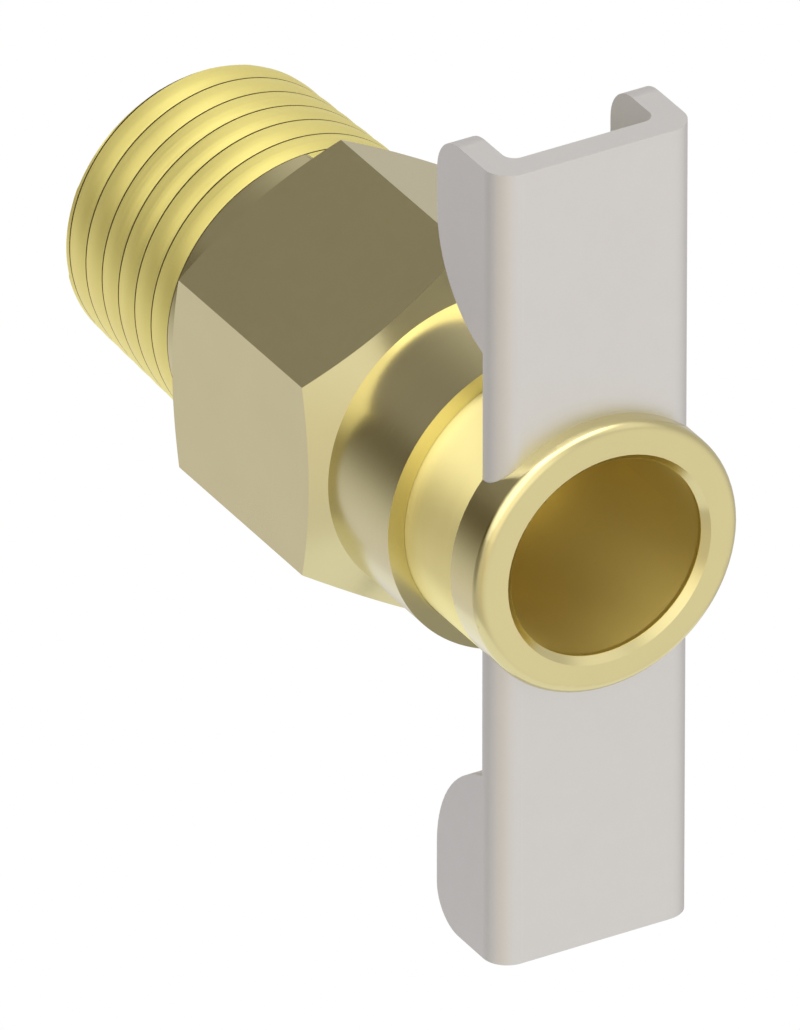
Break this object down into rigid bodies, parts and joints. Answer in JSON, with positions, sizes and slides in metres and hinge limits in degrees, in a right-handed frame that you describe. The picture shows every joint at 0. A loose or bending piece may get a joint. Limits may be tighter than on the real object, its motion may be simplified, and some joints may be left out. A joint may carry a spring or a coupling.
{
  "type": "drain cock",
  "caption": "Drain cock with a taper-threaded hexagon body and a hollow stem that a pressed tee handle screws in and out, which lets water leave through the stem's own bore.",
  "frame": {"origin": "centre of the inlet end face, on the axis of the thread", "axes": "+Y along the axis, out of the inlet end; the outlet faces -Y; +Z along the tee handle, square to two flats of the hexagon"},
  "size_m": [0.015, 0.0326, 0.0364],
  "materials": {
    "body_brass": "turned and bright",
    "stem_brass": "turned and bright",
    "collar_brass": "turned and bright",
    "jumper_brass": "turned",
    "handle_steel": "pressed and plated, satin",
    "seal_rubber": "moulded"
  },
  "bodies": {
    "cock_body": {"valve_body": "body_brass"},
    "jumper": {"jumper": "jumper_brass", "seat_washer": "seal_rubber"},
    "spindle": {"stem": "stem_brass", "head_collar": "collar_brass", "tee_handle": "handle_steel", "stem_seal_ring": "seal_rubber"}
  },
  "joints": [
    {"name": "lift", "type": "slide", "parent": "cock_body", "child": "jumper", "axis": [0, -1, 0], "range_m": [0, 0.00225]},
    {"name": "turn", "type": "hinge", "parent": "jumper", "child": "spindle", "pos_m": [0, -0.0163, 0], "axis": [0, -1, 0], "range_deg": [0, 810]}
  ],
  "couplings": [
    {"joint": "lift", "follows": "turn", "m_per_rad": 0.00015915}
  ]
}
